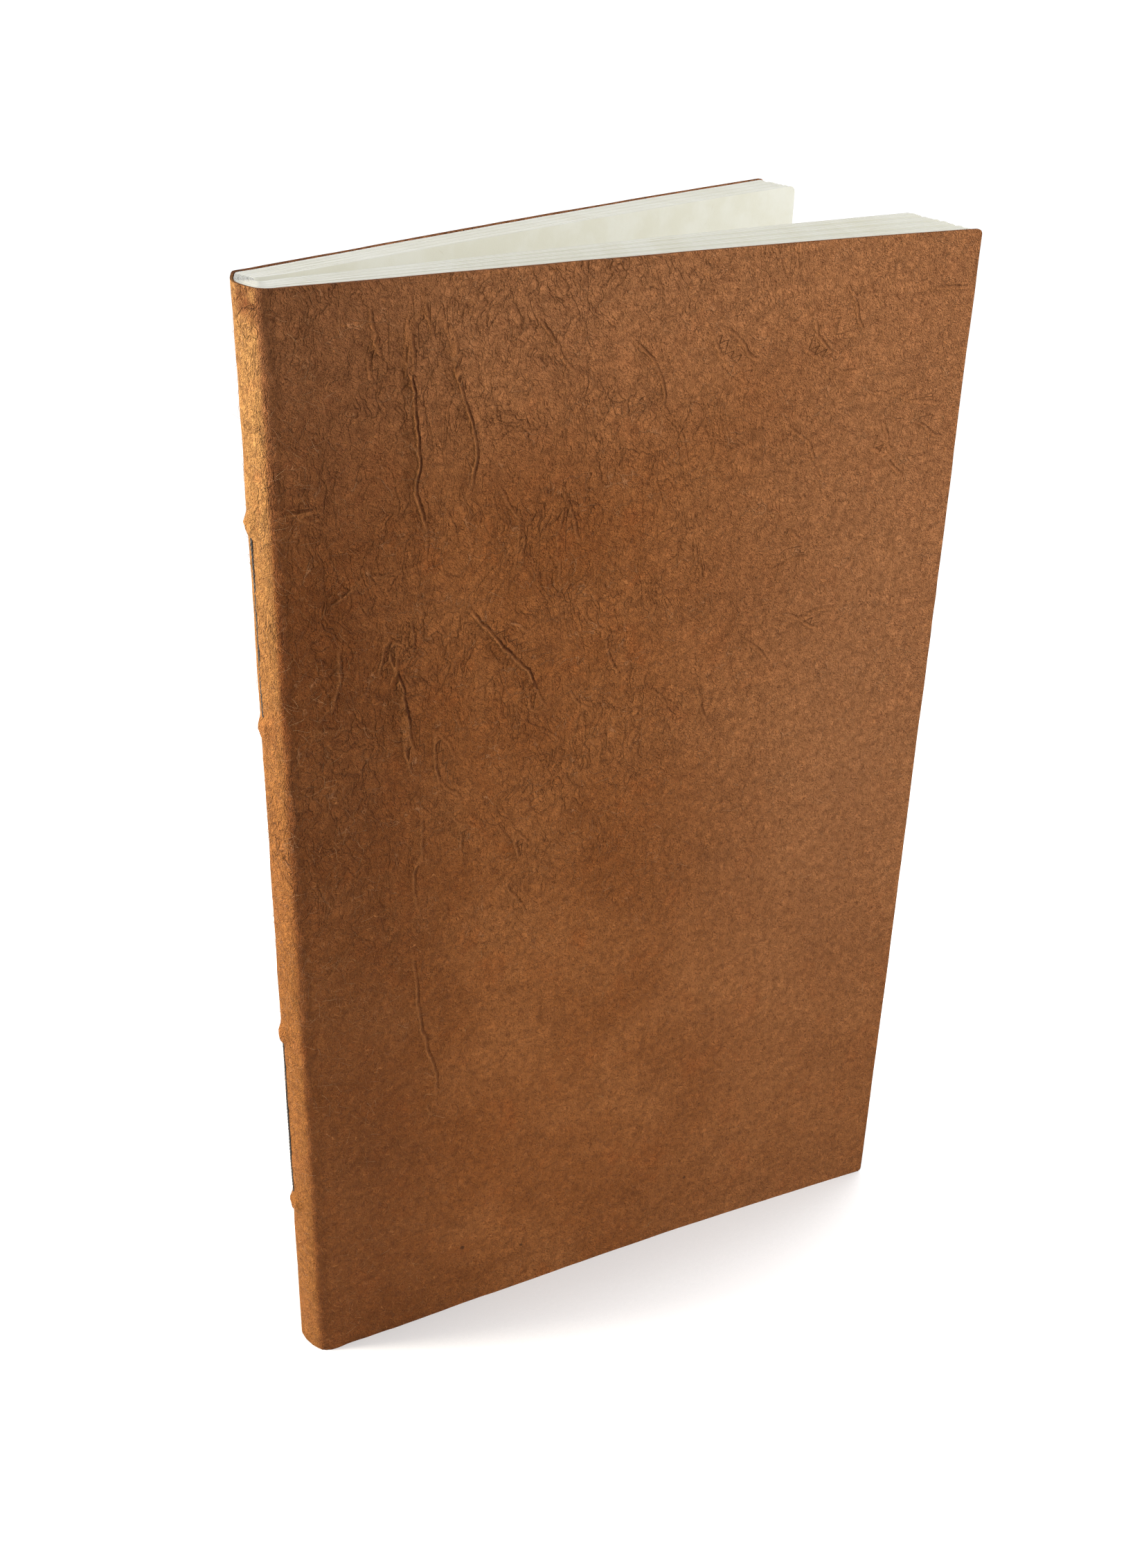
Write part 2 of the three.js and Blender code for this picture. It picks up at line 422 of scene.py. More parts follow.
@dataclass(frozen=True)
class Fold:
    """One folded sheet or the cover at the spine: a round of that radius, then its two hinges."""

    centre: np.ndarray
    closing: np.ndarray
    across: np.ndarray
    radius: float
    arm: float
    hinges: dict[Half, Hinge]
    lengths: dict[Half, float]

    @classmethod
    def read(cls, centre: np.ndarray, joints: dict[Half, str], leaves: dict[Half, str]) -> "Fold":
        """Takes a fold's sizes from the frame.

        Args:
            centre: the middle of the spine's round, seen from above.
            joints: each half's joint name.
            leaves: each half's CAD leaf or cover panel.

        Returns:
            The fold.
        """
        at = {j["name"]: np.array(j["pos_m"][:2]) for j in frame["joints"]}
        front, back = at[joints[Half.FRONT]], at[joints[Half.BACK]]
        across = (back - front) / np.linalg.norm(back - front)
        closing = np.array([across[1], -across[0]])
        hinges, lengths = {}, {}
        for half in Half:
            plan = np.array([v.co[:2] for v in frame["nodes"][leaves[half]].data.vertices])
            out = plan.mean(0) - at[joints[half]]
            out /= np.linalg.norm(out)
            angle = math.atan2(closing[0] * out[1] - closing[1] * out[0], float(closing @ out))
            hinges[half] = Hinge(at[joints[half]], closing, angle)
            lengths[half] = float(((plan - at[joints[half]]) @ out).max())
        return cls(centre, closing, across, float(np.linalg.norm(back - front)) / 2,
                   float(((front + back) / 2 - centre) @ closing), hinges, lengths)

    def apex_to_hinge(self) -> float:
        """The paper's length from the middle of the spine to a hinge."""
        return math.pi * self.radius / 2 + self.arm

    def press_inputs(self) -> dict[str, tuple]:
        """What the tree that flattens the spine needs to know."""
        return {"Fold centre": tuple(np.append(self.centre, 0.0)),
                "Closing way": tuple(np.append(self.closing, 0.0))}


@dataclass(frozen=True)
class HalfLine:
    """The plan line of one half of a sheet: from the spine's apex to the fore-edge."""

    fold: Fold
    half: Half
    steps: tuple[tuple[float, float], ...]
    bow: float
    corner: float
    trim: float = 0.0

    def points(self) -> tuple[np.ndarray, dict[str, np.ndarray]]:
        """Works out the line.

        Returns:
            The points, and for each of them: across, the outward plan direction; along, the
            distance past the hinge measured on the paper; margin, how far the sheet's top and
            bottom draw in for its rounded corner.
        """
        fold, side = self.fold, self.half.value
        quarter = math.pi * fold.radius / 2
        stop = quarter + fold.arm + fold.lengths[self.half] - self.trim
        marks = [0.0]
        for end, step in self.steps:
            end = min(quarter + fold.arm + end, stop)
            count = max(1, round((end - marks[-1]) / step))
            marks.extend(np.linspace(marks[-1], end, count + 1)[1:])
        rim = marks[-1] - self.corner
        marks = [m for m in marks if m < rim - 1e-6]
        marks.extend(rim + self.corner * np.sin(np.linspace(0, math.pi / 2, 6)))
        run = np.array(marks)
        turn = np.clip(run / fold.radius, 0, math.pi / 2)
        flat = np.clip(run - quarter, 0, None)
        closed = (fold.centre - np.outer(fold.radius * np.cos(turn), fold.closing)
                  + side * np.outer(fold.radius * np.sin(turn), fold.across)
                  + np.outer(flat, fold.closing))
        reach = np.clip(flat - fold.arm, 0, None) / fold.lengths[self.half]
        swing = np.sin(math.pi * reach ** 1.25) * self.bow
        closed += np.outer(swing, fold.across)
        line = fold.hinges[self.half].bent(closed)
        tangent = np.gradient(line, run, axis=0)
        tangent /= np.linalg.norm(tangent, axis=1)[:, None]
        outward = side * np.stack([-tangent[:, 1], tangent[:, 0]], 1)
        lost = np.clip(run - rim, 0, None)
        margin = self.corner - np.sqrt(np.clip(self.corner ** 2 - lost ** 2, 0, None))
        return level(line), {"across": level(outward), "along": run - quarter - fold.arm,
                             "margin": margin}


def whole_line(back: HalfLine, front: HalfLine) -> tuple[np.ndarray, dict[str, np.ndarray]]:
    """One line from the back fore-edge round the spine to the front fore-edge.

    Along counts on from the front hinge: it is negative round the spine and over the back.
    """
    far, far_values = back.points()
    near, near_values = front.points()
    apex = near_values["along"][0]
    far_values["along"] = 2 * apex - far_values["along"]
    points = np.vstack([far[::-1], near[1:]])
    return points, {key: np.concatenate([far_values[key][::-1], near_values[key][1:]])
                    for key in near_values}


# ---------------------------------------------------------------- geometry trees


class SheetTrees:
    """The geometry trees that turn plan lines into paper."""

    def __init__(self) -> None:
        """Builds the trees."""
        self.press = self._press()
        self.body = self._body()
        self.leaf = self._leaf()
        self.cover = self._cover()

    def _press(self) -> NodeTree:
        """Flattens the round of the spine, more at the head than at the tail."""
        t = Tree("pressed_spine", "GeometryNodeTree")
        shape = t.input("Geometry", "NodeSocketGeometry")
        centre = t.input("Fold centre", "NodeSocketVector")
        closing = t.input("Closing way", "NodeSocketVector")
        tail = t.number("Depth kept at the tail", 0.71)
        head = t.number("Depth kept at the head", 0.55)
        square = t.number("Squareness", 2.7)
        lean = t.number("Depth kept behind", 0.5)
        place = t.position()
        depth = t.vector("DOT_PRODUCT", t.vector("SUBTRACT", place, centre), closing)
        level_here = t.parts(place)[2]
        kept = t.node("ShaderNodeMapRange", {"Value": level_here, 1: 0.0, 2: BOOK_HEIGHT,
                                             3: tail, 4: head}).outputs[0]
        uneven = t.minus(t.noise(t.combine(0.0, 0.0, level_here), 60.0, 1.0), 0.5)
        kept = t.plus(kept, t.times(uneven, 0.10))
        across = t.vector("CROSS_PRODUCT", tuple(UP), closing)
        aside = t.vector("DOT_PRODUCT", t.vector("SUBTRACT", place, centre), across)
        reach = t.sum("SQRT", t.plus(t.times(aside, aside), t.times(depth, depth)))
        slant = t.sum("DIVIDE", aside, t.sum("MAXIMUM", reach, 0.1 * MM))
        squared = t.sum("POWER", t.minus(1.0, t.sum("POWER", t.sum("ABSOLUTE", slant), square)),
                        t.sum("DIVIDE", 1.0, square))
        rounded_off = t.sum("SQRT", t.plus(t.minus(1.0, t.times(slant, slant)), 0.004))
        boxy = t.sum("MINIMUM", t.sum("DIVIDE", squared, rounded_off), 1.8)
        behind = t.ramp(slant, 0.0, 1.0, 1.0, lean)
        kept = t.times(kept, t.times(boxy, behind))
        lost = t.times(t.sum("MINIMUM", depth, 0.0), t.minus(kept, 1.0))
        t.output("Geometry", "NodeSocketGeometry", t.moved(shape, t.vector("SCALE", closing, lost)))
        return t.tree

    def _body(self) -> NodeTree:
        """A closed sheet of even thickness that stands on the plan line."""
        t = Tree("closed_sheet", "GeometryNodeTree")
        path, bottom, height, rows, thickness = self._body_inputs(t).values()
        line = t.shape_of(path)
        count = t.node("GeometryNodeAttributeDomainSize", {"Geometry": line}).outputs["Point Count"]
        wide, tall = t.minus(count, 1.0), t.minus(rows, 1.0)
        grid = t.node("GeometryNodeMeshGrid", {"Size X": wide, "Size Y": tall, "Vertices X": count,
                                               "Vertices Y": rows}).outputs["Mesh"]
        place = t.parts(t.position())
        column = t.sum("ROUND", t.plus(place[0], t.times(wide, 0.5)))
        rise = t.plus(t.sum("DIVIDE", place[1], tall), 0.5)
        drawn = {}
        for name, kind in (("spot", "FLOAT_VECTOR"), ("across", "FLOAT_VECTOR"), ("along", "FLOAT"),
                           ("margin", "FLOAT")):
            value = t.position() if name == "spot" else t.named(name, kind)
            drawn[name] = t.at(line, value, column, kind)
        inner = t.minus(height, t.times(drawn["margin"], 2.0))
        up = t.plus(t.plus(bottom, drawn["margin"]), t.times(rise, inner))
        half = t.times(thickness, -0.5)
        spot = t.vector("ADD", drawn["spot"], t.combine(0.0, 0.0, up))
        spot = t.vector("ADD", spot, t.vector("SCALE", drawn["across"], half))
        shape = t.store(grid, "along", drawn["along"])
        shape = t.store(shape, "up", up)
        shape = t.store(shape, "across", drawn["across"], "FLOAT_VECTOR")
        shape = t.store(shape, "base", spot, "FLOAT_VECTOR")
        flat = t.vector("SCALE", t.combine(drawn["along"], up, 0.0), UV_PER_METRE)
        shape = t.store(shape, SHEET_UV, flat, "FLOAT2", "CORNER")
        base = t.named("base", "FLOAT_VECTOR")
        shape = t.node("GeometryNodeSetPosition", {"Geometry": shape, "Position": base}).outputs[0]
        thick = t.node("GeometryNodeExtrudeMesh", {
            "Mesh": shape, "Offset": t.named("across", "FLOAT_VECTOR"), "Offset Scale": thickness,
            "Individual": False}, mode="FACES")
        outer = t.store(thick.outputs["Mesh"], "rim", thick.outputs["Side"], "FLOAT", "FACE")
        under = t.node("GeometryNodeFlipFaces", {"Mesh": shape}).outputs[0]
        join = t.node("GeometryNodeJoinGeometry")
        t.tree.links.new(under, join.inputs[0])
        t.tree.links.new(outer, join.inputs[0])
        whole = t.node("GeometryNodeMergeByDistance", {"Geometry": join.outputs[0],
                                                       "Distance": t.times(thickness, 0.1)}).outputs[0]
        lift = t.vector("LENGTH", t.vector("SUBTRACT", t.position(), t.named("base", "FLOAT_VECTOR")))
        whole = t.store(whole, "outside", t.sum("GREATER_THAN", lift, t.times(thickness, 0.5)))
        t.output("Geometry", "NodeSocketGeometry", whole)
        return t.tree

    def _body_inputs(self, t: Tree) -> dict[str, Socket]:
        """The inputs of the closed sheet, which every paper tree has too and passes on to it."""
        return {"Plan line": t.input("Plan line", "NodeSocketObject"),
                "Bottom": t.number("Bottom", 0.0),
                "Height": t.number("Height", 0.14),
                "Rows": t.input("Rows", "NodeSocketInt", 24),
                "Thickness": t.number("Thickness", 0.00013)}

    def _ripple(self, t: Tree, size: object, direction: object) -> Socket:
        """A slow wave of the paper that grows from nothing at the hinge to the fore-edge."""
        place = t.combine(t.sum("ABSOLUTE", t.named("along")), t.named("up"), 0.0)
        wave = t.minus(t.noise(place, 18.0, 1.0), 0.5)
        grow = t.ramp(t.named("along"), 6.0 * MM, 80.0 * MM)
        return t.vector("SCALE", direction, t.times(t.times(wave, grow), size))

    def _finished(self, t: Tree, shape: Socket) -> None:
        """Ends a tree: instances made real, shading smooth, material set."""
        dress = t.input("Material", "NodeSocketMaterial")
        t.finished(t.pressed(self.press, shape), dress)

    def _leaf(self) -> NodeTree:
        """One half of a folded sheet, with its slow wave and a slightly uneven trimmed edge."""
        t = Tree("folded_leaf", "GeometryNodeTree")
        inputs = self._body_inputs(t)
        wave = t.number("Wave", 0.0006)
        sway = t.input("Sway", "NodeSocketVector")
        uneven = t.number("Uneven trim", 0.0001)
        seed = t.number("Seed", 0.0)
        tone = t.number("Edge tone", 0.0)
        shape = t.group(self.body, inputs).outputs[0]
        rough = t.noise(t.combine(t.named("along"), t.named("up"), seed), 160.0, 2.0)
        middle = t.plus(inputs["Bottom"], t.times(inputs["Height"], 0.5))
        from_middle = t.sum("DIVIDE", t.minus(t.named("up"), middle), t.times(inputs["Height"], 0.5))
        near_edge = t.ramp(from_middle, 0.985, 1.0)
        drop_by = t.times(t.times(rough, near_edge), t.times(uneven, -1.0))
        move = t.vector("ADD", self._ripple(t, wave, sway), t.combine(0.0, 0.0, drop_by))
        shape = t.moved(shape, move)
        shape = t.store(shape, "tone", tone)
        self._finished(t, shape)
        return t.tree

    def _cover(self) -> NodeTree:
        """The wrapped cover: waves, crumples, pressed creases and the torn rims of its holes."""
        t = Tree("wrapped_cover", "GeometryNodeTree")
        inputs = self._body_inputs(t)
        wave = t.number("Wave", 0.0006)
        sway = t.input("Sway", "NodeSocketVector")
        creases = t.input("Creases", "NodeSocketObject")
        depth = t.number("Crease height", 0.00038)
        crumple = t.number("Crumple height", 0.00035)
        holes = t.input("Holes", "NodeSocketObject")
        burr = t.number("Burr height", 0.0008)
        fray = t.number("Fray height", 0.0007)
        shape = t.group(self.body, inputs).outputs[0]
        along, up = t.named("along"), t.named("up")
        place = t.combine(along, up, 0.0)

        # pressed creases: the nearest crease point, and on which side of it this spot lies
        lines = t.shape_of(creases)
        near = t.nearest(lines, place)
        spot = t.at(lines, t.position(), near, "FLOAT_VECTOR")
        heading = t.parts(t.at(lines, t.named("heading", "FLOAT_VECTOR"), near, "FLOAT_VECTOR"))
        strength = t.at(lines, t.named("strength"), near)
        apart = t.vector("SUBTRACT", place, spot)
        parts = t.parts(apart)
        side = t.minus(t.times(heading[0], parts[1]), t.times(heading[1], parts[0]))
        distance = t.vector("LENGTH", apart)
        felt = t.times(strength, t.ramp(distance, 1.2 * MM, 4.0 * MM, 1.0, 0.0))
        ridge = t.times(felt, t.ridge(side, 1.1 * MM))

        # crumples: folded noise that is strongest beside the spine and in the upper two thirds
        sharp = t.ridge(t.minus(t.noise(t.warped(place, 45.0, 2.0, 9.0 * MM), 75.0, 2.0), 0.5), 0.16)
        beside = t.ramp(along, 34.0 * MM, 62.0 * MM, 1.0, 0.25)
        beside = t.times(beside, t.ramp(along, 0.5 * MM, 6.0 * MM, 0.35, 1.0))
        higher = t.ramp(up, 45.0 * MM, 85.0 * MM, 0.25, 1.0)
        crumpled = t.times(sharp, t.times(beside, higher))
        lumps = t.noise(place, 130.0, 3.0, 0.6)

        # the rubbed, frayed corner where the spine turns to the front
        rubbed_and_painted_light = t.times(t.ramp(along, -9.0 * MM, -6.5 * MM), t.ramp(along, -1.0 * MM, 2.5 * MM, 1.0, 0.0))
        frayed = t.times(t.minus(t.noise(place, 380.0, 3.0, 0.7), 0.5), rubbed_and_painted_light)

        # torn rims round the sewing holes
        rims = t.shape_of(holes)
        hole = t.at(rims, t.position(), t.nearest(rims, place), "FLOAT_VECTOR")
        away = t.vector("LENGTH", t.vector("SUBTRACT", place, hole))
        ragged = t.plus(t.noise(place, 900.0, 2.0), 0.55)
        torn = t.times(t.ramp(away, 0.45 * MM, 1.8 * MM, 1.0, 0.0), t.ramp(away, 0.0, 0.45 * MM, 0.1, 1.0))
        torn = t.times(torn, ragged)

        outer = t.plus(t.times(ridge, depth), t.times(crumpled, crumple))
        outer = t.plus(outer, t.times(lumps, t.times(crumple, 0.35)))
        outer = t.plus(outer, t.times(torn, burr))
        outer = t.plus(outer, t.times(frayed, fray))
        outer = t.times(outer, t.plus(t.times(t.named("outside"), 0.6), 0.4))
        move = t.vector("ADD", t.vector("SCALE", t.named("across", "FLOAT_VECTOR"), outer),
                        self._ripple(t, wave, sway))
        shape = t.moved(shape, move)
        shape = t.store(shape, "crease_side", t.sum("DIVIDE", side, MM))
        shape = t.store(shape, "crease", felt)
        self._finished(t, shape)
        return t.tree


class ThreadTree:
    """The geometry tree that lays twisted plies along the sewing thread's route."""

    def __init__(self, press: NodeTree) -> None:
        """Builds the tree round the one that flattens the spine."""
        t = Tree("twisted_thread", "GeometryNodeTree")
        route = t.input("Route", "NodeSocketObject")
        ply = t.number("Ply radius", 0.00012)
        orbit = t.number("Ply offset", 0.0001)
        pitch = t.number("Twist pitch", 0.0016)
        plies = t.input("Plies", "NodeSocketInt", 3)
        dress = t.input("Material", "NodeSocketMaterial")
        line = t.shape_of(route)
        curve = t.node("GeometryNodeMeshToCurve", {"Mesh": line}).outputs[0]
        curve = t.node("GeometryNodeResampleCurve", {"Curve": curve, "Length": 0.16 * MM},
                       mode="LENGTH").outputs[0]
        many = t.node("GeometryNodeDuplicateElements", {"Geometry": curve, "Amount": plies},
                      domain="SPLINE")
        share = t.sum("DIVIDE", many.outputs["Duplicate Index"], plies)
        length = t.node("GeometryNodeSplineParameter").outputs["Length"]
        turn = t.times(t.plus(t.sum("DIVIDE", length, pitch), share), math.tau)
        normal = t.node("GeometryNodeInputNormal").outputs[0]
        tangent = t.node("GeometryNodeInputTangent").outputs[0]
        binormal = t.vector("CROSS_PRODUCT", tangent, normal)
        swing = t.vector("ADD", t.vector("SCALE", normal, t.sum("COSINE", turn)),
                         t.vector("SCALE", binormal, t.sum("SINE", turn)))
        laid = t.node("GeometryNodeSetPosition", {"Geometry": many.outputs[0],
                                                  "Offset": t.vector("SCALE", swing, orbit)}).outputs[0]
        ring = t.node("GeometryNodeCurvePrimitiveCircle", {"Resolution": 6, "Radius": ply}).outputs[0]
        tube = t.node("GeometryNodeCurveToMesh", {"Curve": laid, "Profile Curve": ring,
                                                  "Fill Caps": True}).outputs[0]
        t.finished(t.pressed(press, tube), dress)
        self.tree = t.tree


class FuzzTree:
    """The geometry tree that scatters loose fibres over a paper surface."""

    def __init__(self) -> None:
        """Builds the tree."""
        t = Tree("loose_fibres", "GeometryNodeTree")
        paper = t.input("Paper", "NodeSocketObject")
        density = t.number("Fibres per square metre", 40000.0)
        length = t.number("Fibre length", 0.0019)
        radius = t.number("Fibre radius", 0.000011)
        seed = t.input("Seed", "NodeSocketInt", 7)
        dress = t.input("Material", "NodeSocketMaterial")
        shape = t.shape_of(paper)
        turn = t.number("Apex to hinge", 0.007)
        from_apex = t.sum("ABSOLUTE", t.plus(t.named("along"), turn))
        past_hinge = t.minus(from_apex, turn)
        up = t.named("up")
        near = t.times(t.ramp(past_hinge, 1.0 * MM, 9.0 * MM, 1.0, 0.06),
                       t.ramp(up, 28.0 * MM, 50.0 * MM, 0.2, 1.0))
        inside = t.times(t.ramp(up, 1.5 * MM, 4.0 * MM), t.ramp(up, 135.5 * MM, 138.0 * MM, 1.0, 0.0))
        near = t.times(near, inside)
        wanted = t.times(t.times(density, near), t.sum("GREATER_THAN", t.named("outside"), 0.9))
        spots = t.node("GeometryNodeDistributePointsOnFaces",
                       {"Mesh": shape, "Density": wanted, "Seed": seed}, distribute_method="RANDOM")
        arc = t.node("GeometryNodeCurvePrimitiveBezierSegment", {
            "Resolution": 5, "Start": (-0.5, 0.0, 0.0), "Start Handle": (-0.25, 0.16, 0.10),
            "End Handle": (0.2, -0.08, 0.09), "End": (0.5, 0.06, 0.03)})
        bit = t.node("GeometryNodeCurveToMesh", {
            "Curve": arc.outputs[0],
            "Profile Curve": t.node("GeometryNodeCurvePrimitiveCircle", {
                "Resolution": 3, "Radius": t.sum("DIVIDE", radius, length)}).outputs[0],
            "Fill Caps": True}).outputs[0]
        spin = t.chance(0.0, math.tau, seed)
        lean = t.chance(-0.25, 0.25, t.plus(seed, 1.0))
        size = t.chance(0.4, 1.2, t.plus(seed, 2.0))
        own = t.node("FunctionNodeRotateRotation", {
            "Rotation": spots.outputs["Rotation"],
            "Rotate By": t.node("FunctionNodeEulerToRotation", {0: t.combine(lean, lean, spin)}).outputs[0]},
            rotation_space="LOCAL").outputs[0]
        laid = t.node("GeometryNodeInstanceOnPoints", {
            "Points": spots.outputs[0], "Instance": bit, "Rotation": own,
            "Scale": t.times(size, length)}).outputs[0]
        t.finished(laid, dress)
        self.tree = t.tree


# ---------------------------------------------------------------- finishes


class FibreGroup:
    """The shader group for felted fibres that lie in every direction, used by every paper."""

    def __init__(self) -> None:
        """Builds the group."""
        t = Tree("felted_fibres", "ShaderNodeTree")
        place = t.input("Place in mm", "NodeSocketVector")
        length = t.number("Length in mm", 2.5)
        width = t.number("Width in mm", 0.12)
        plenty = t.number("Plenty", 0.5)
        curl = t.node("ShaderNodeTexNoise", {"Vector": place, "Scale": 0.45, "Detail": 2.0}).outputs[1]
        curled = t.vector("ADD", place, t.vector("SCALE", t.vector("SUBTRACT", curl, (0.5, 0.5, 0.5)), 2.2))
        total = relief = None
        low = t.minus(0.78, t.times(plenty, 0.2))
        for turn, shift in ((0.15, 3.0), (0.75, 17.0), (1.35, 41.0), (1.95, 77.0), (2.65, 113.0)):
            turned = t.node("ShaderNodeMapping", {"Vector": curled, "Location": (shift, shift * 0.7, 0.0),
                                                  "Rotation": (0.0, 0.0, turn)}).outputs[0]
            x, y, _ = t.parts(turned)
            thin = t.combine(t.sum("DIVIDE", x, length), t.sum("DIVIDE", y, width), shift)
            strands = t.noise(thin, 1.0, 1.0)
            mask = t.ramp(strands, low, t.plus(low, 0.12))
            total = mask if total is None else t.sum("MAXIMUM", total, mask)
            relief = strands if relief is None else t.plus(relief, strands)
        t.output("Fibres", "NodeSocketFloat", total)
        t.output("Relief", "NodeSocketFloat", t.times(relief, 0.2))
        self.tree = t.tree

    def laid(self, t: Tree, place: Socket, length: float, width: float, plenty: float,
             shift: tuple = (0.0, 0.0, 0.0)) -> tuple[Socket, Socket]:
        """Places the group in a material.

        Args:
            t: the material's tree.
            place: the place in millimetres.
            length: a fibre's length in millimetres.
            width: its width in millimetres.
            plenty: how many there are, from 0 to 1.
            shift: how far the pattern is moved, so that two layers differ.

        Returns:
            The mask of fibres and their relief.
        """
        made = t.group(self.tree, {"Place in mm": t.vector("ADD", place, shift), "Length in mm": length,
                                   "Width in mm": width, "Plenty": plenty})
        return made.outputs["Fibres"], made.outputs["Relief"]


@dataclass(frozen=True)
class CoverFinish:
    """Brown handmade paper: felted, mottled, with painted shade in its creases and painted light on its spine
    and toward its right and top, fibrous at its edges.
    """

    fibres: FibreGroup
    apex_to_hinge: float
    dark: Colour = (0.080, 0.020, 0.005, 1.0)
    brown: Colour = (0.270, 0.088, 0.022, 1.0)
    tan: Colour = (0.420, 0.160, 0.050, 1.0)
    rust: Colour = (0.325, 0.094, 0.022, 1.0)
    blond: Colour = (0.600, 0.350, 0.150, 1.0)
    # worn colours the spine partly as real wear and partly as painted light, and the matted fibres as real
    # wear; the colour after it is a painted golden glow on the spine
    worn: Colour = (0.390, 0.155, 0.040, 1.0)
    gold: Colour = (0.530, 0.275, 0.090, 1.0)
    # the paler colour of painted light, on the right and top of the cover and along raised veins
    dusty: Colour = (0.440, 0.195, 0.083, 1.0)
    stain: Colour = (0.150, 0.040, 0.012, 1.0)
    speck: Colour = (0.030, 0.016, 0.010, 1.0)
    roughness: float = 0.82

    def material(self) -> Material:
        """Builds the material."""
        t = Tree.of_material("cover_paper")
        place = t.millimetres()
        x, v, _ = t.parts(place)
        hinge = self.apex_to_hinge / MM
        u = t.minus(t.sum("ABSOLUTE", t.plus(x, hinge)), hinge)
        fine, fine_relief = self.fibres.laid(t, place, 1.5, 0.12, 0.7)
        matted, matted_relief = self.fibres.laid(t, place, 1.9, 0.22, 0.5, (131.0, 37.0, 0.0))
        loose, _ = self.fibres.laid(t, place, 3.4, 0.15, 0.16, (211.0, 97.0, 0.0))
        broad = t.noise(place, 0.055, 3.0, 0.55, 0.4)
        patch = t.noise(t.vector("ADD", place, (50.0, 10.0, 0.0)), 0.16, 4.0, 0.6, 0.6)
        grain = t.noise(place, 1.1, 4.0, 0.65)

        # painted light: paler toward the right and the top; the spine paler, partly wear and partly painted
        # light, with a painted golden glow; painted shade in a strip beside the spine; a stain at the head
        rubbed_and_painted_light = t.times(t.ramp(u, 34.0, 76.0), t.ramp(v, 10.0, 80.0, 0.3, 1.0))
        rubbed_and_painted_light = t.sum("MAXIMUM", rubbed_and_painted_light, t.ramp(v, 108.0, 138.0))
        # the spine: paler, partly real wear and partly painted light, with a painted golden glow growing
        # toward the top
        spine_wear_and_glow = t.layers(self.worn, (t.ramp(v, 70.0, 132.0), 1.0, self.gold),
                        (t.ramp(patch, 0.50, 0.68), 0.5, self.tan))
        # painted shade: dark from where the spine turns to the front, fading out 24 mm onto the front
        beside = t.times(t.ramp(u, -3.7, -2.6), t.ramp(u, 4.0, 24.0, 0.46, 0.0))
        head = t.times(t.ramp(v, 135.5, 139.0), t.ramp(u, -4.0, -2.2, 1.0, 0.0))
        specks = t.times(t.specks(place, 0.11, 0.028, 0.05), t.ramp(t.noise(place, 0.2, 1.0), 0.5, 0.6))

        # the pressed creases: a lit line and the shade on one side of it
        felt = t.own("crease")
        wander = t.minus(t.noise(place, 0.7, 2.0), 0.5)
        side = t.plus(t.own("crease_side"), t.times(wander, 0.5))
        line = t.times(t.ridge(side, 0.34), felt)
        shade = t.times(t.ridge(t.minus(side, 0.28), 0.26), felt)

        # fine crumples between the pressed creases, painted dark along their folds as shade
        bent = t.warped(place, 0.12, 3.0, 7.0)
        stretch = t.node("ShaderNodeMapping", {"Vector": bent, "Rotation": (0.0, 0.0, 0.25),
                                               "Scale": (1.0, 0.45, 1.0)}).outputs[0]
        zone = t.times(t.ramp(u, 30.0, 75.0, 1.0, 0.2), t.ramp(v, 40.0, 85.0, 0.12, 1.0))
        zone = t.times(zone, t.ramp(t.noise(place, 0.09, 2.0), 0.3, 0.66, 0.25, 1.0))
        net = t.times(t.ridge(t.minus(t.noise(stretch, 0.3, 3.0, 0.6), 0.5), 0.03), zone)
        pucker = t.times(t.ridge(t.minus(t.noise(stretch, 0.85, 2.0, 0.5), 0.5), 0.05), zone)
        # painted highlight along thin raised veins
        vein = t.times(t.ridge(t.minus(t.noise(bent, 0.42, 2.0, 0.5), 0.47), 0.016),
                       t.ramp(t.noise(place, 0.35, 1.0), 0.48, 0.62))
        vein = t.times(vein, t.ramp(v, 40.0, 80.0, 0.25, 1.0))

        colour = t.layers(
            self.brown,
            (t.ramp(broad, 0.3, 0.72), 0.6, self.tan),
            (t.ramp(patch, 0.52, 0.75), 0.6, self.rust),
            (t.ramp(patch, 0.48, 0.26), 0.3, self.dark),
            (rubbed_and_painted_light, 0.6, self.dusty),
            (t.ramp(u, -4.2, -3.0, 0.85, 0.0), 1.0, spine_wear_and_glow),
            (beside, 1.0, self.dark),
            (head, t.ramp(patch, 0.35, 0.55), self.stain),
            (t.ramp(grain, 0.58, 0.34), 0.34, self.dark),
            (fine, 0.6, self.tan),
            (t.ramp(matted_relief, 0.48, 0.42), 0.24, self.dark),
            (t.ramp(fine_relief, 0.48, 0.42), 0.46, self.dark),
            (matted, 0.22, self.worn),
            (loose, 0.45, self.blond),
            (specks, 0.7, self.speck),
            (line, 0.6, self.tan),
            (shade, 0.75, self.dark),
            (net, 0.24, self.dark),
            (pucker, 0.2, self.dark),
            (vein, 0.55, self.dusty),
            (t.own("rim"), 0.6, self.dark))
        height = t.heap((fine_relief, 3.0), (matted_relief, 3.0), (fine, 0.25), (loose, 0.35), (grain, 0.7),
                        (line, 1.5), (shade, -1.8), (net, -1.2), (pucker, -0.7), (vein, 0.8))
        rough = t.ramp(grain, 0.3, 0.7, self.roughness - 0.08, self.roughness + 0.1)
        return t.shine({"Base Color": colour, "Roughness": rough, "Normal": t.bump(1.0, 0.26 * MM, height),
                        "Specular IOR Level": 0.08, "Sheen Weight": 0.03, "Sheen Roughness": 0.5,
                        "Sheen Tint": self.blond})


